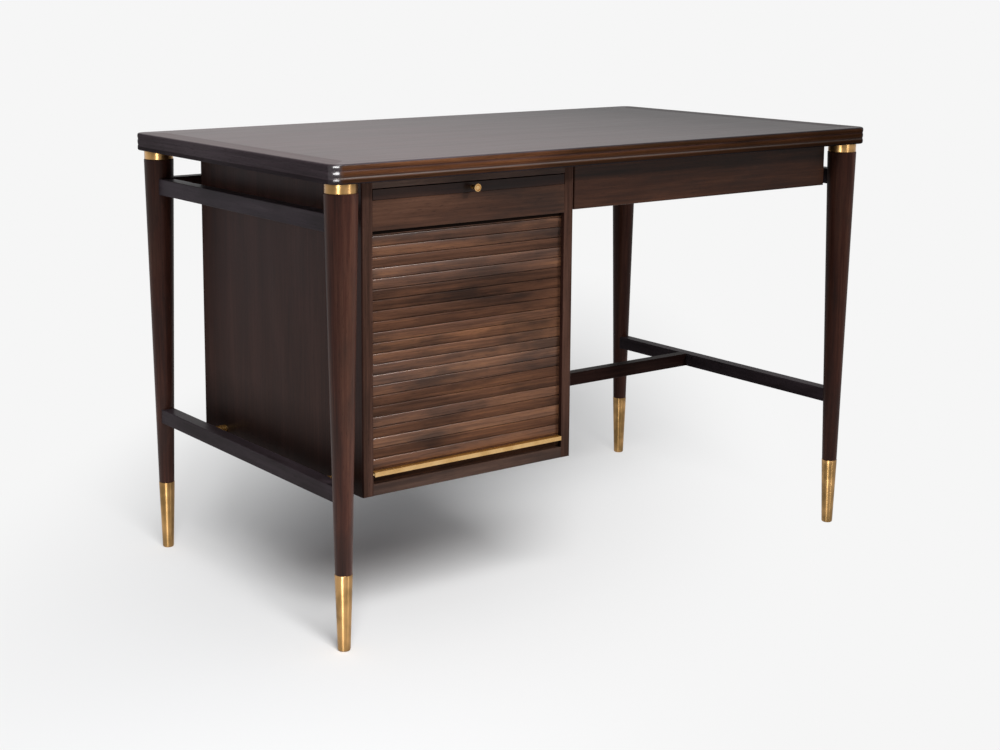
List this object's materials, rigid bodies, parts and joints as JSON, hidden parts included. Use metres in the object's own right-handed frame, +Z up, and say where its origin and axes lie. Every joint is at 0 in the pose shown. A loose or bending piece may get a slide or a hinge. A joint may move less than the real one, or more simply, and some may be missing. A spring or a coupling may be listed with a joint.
{
  "type": "tambour desk",
  "caption": "Pedestal desk with a slatted tambour cupboard, pull-out writing slide and wide drawer, on tapered legs with metal collars and ferrules joined by rails.",
  "frame": {"origin": "on the floor under the middle of the top", "axes": "+X along the front to the drawer end, +Y to the back, +Z up; the front faces -Y"},
  "size_m": [1.15, 0.654, 0.75],
  "materials": {
    "brass": "polished, slightly aged",
    "steel": "plain zinc-free screw steel",
    "interior_wood": "waxed",
    "top_wood": "semi-gloss lacquer",
    "slat_wood": "satin lacquer, worn",
    "canvas": "plain weave",
    "dark_wood": "semi-gloss lacquer"
  },
  "bodies": {
    "desk": {"collar_bl": "brass", "collar_br": "brass", "collar_fl": "brass", "collar_fr": "brass", "drawer_runner_left": "interior_wood", "drawer_runner_right": "interior_wood", "dust_panel": "interior_wood", "edge_back": "top_wood", "edge_front": "top_wood", "edge_left": "top_wood", "edge_right": "top_wood", "fascia": "dark_wood", "ferrule_bl": "brass", "ferrule_br": "brass", "ferrule_fl": "brass", "ferrule_fr": "brass", "housing_back": "dark_wood", "housing_dowels": "interior_wood", "housing_side": "dark_wood", "leg_bl": "dark_wood", "leg_br": "dark_wood", "leg_fl": "dark_wood", "leg_fr": "dark_wood", "pedestal_back": "interior_wood", "pedestal_bottom": "dark_wood", "pedestal_bottom_rail": "dark_wood", "pedestal_side_left": "dark_wood", "pedestal_side_right": "dark_wood", "pedestal_top": "dark_wood", "pedestal_top_rail": "dark_wood", "rail_lower_left": "dark_wood", "rail_lower_right": "dark_wood", "rail_upper_back": "dark_wood", "rail_upper_left": "dark_wood", "rail_upper_right": "dark_wood", "shelf": "dark_wood", "shelf_pins": "brass", "slide_runner_left": "interior_wood", "slide_runner_right": "interior_wood", "spacer_studs": "steel", "spacers": "brass", "stretcher": "dark_wood", "tambour_canvas": "canvas", "tambour_slats": "slat_wood", "top_panel": "top_wood", "top_screws": "steel"},
    "tambour": {"lifting_rail": "slat_wood", "handle_bar": "brass", "handle_screws": "steel"},
    "writing_slide": {"slide_lipping": "dark_wood", "slide_board": "dark_wood", "knob": "brass", "knob_screw": "steel"},
    "drawer": {"drawer_front": "dark_wood", "drawer_side_left": "interior_wood", "drawer_side_right": "interior_wood", "drawer_back": "interior_wood", "drawer_bottom": "interior_wood"}
  },
  "joints": [
    {"name": "tambour_lift", "type": "slide", "parent": "desk", "child": "tambour", "axis": [0, 0, 1], "range_m": [0, 0.371], "deforming": ["tambour_slats", "tambour_canvas"]},
    {"name": "slide_pull", "type": "slide", "parent": "desk", "child": "writing_slide", "axis": [0, -1, 0], "range_m": [0, 0.3]},
    {"name": "drawer_pull", "type": "slide", "parent": "desk", "child": "drawer", "axis": [0, -1, 0], "range_m": [0, 0.3]}
  ]
}
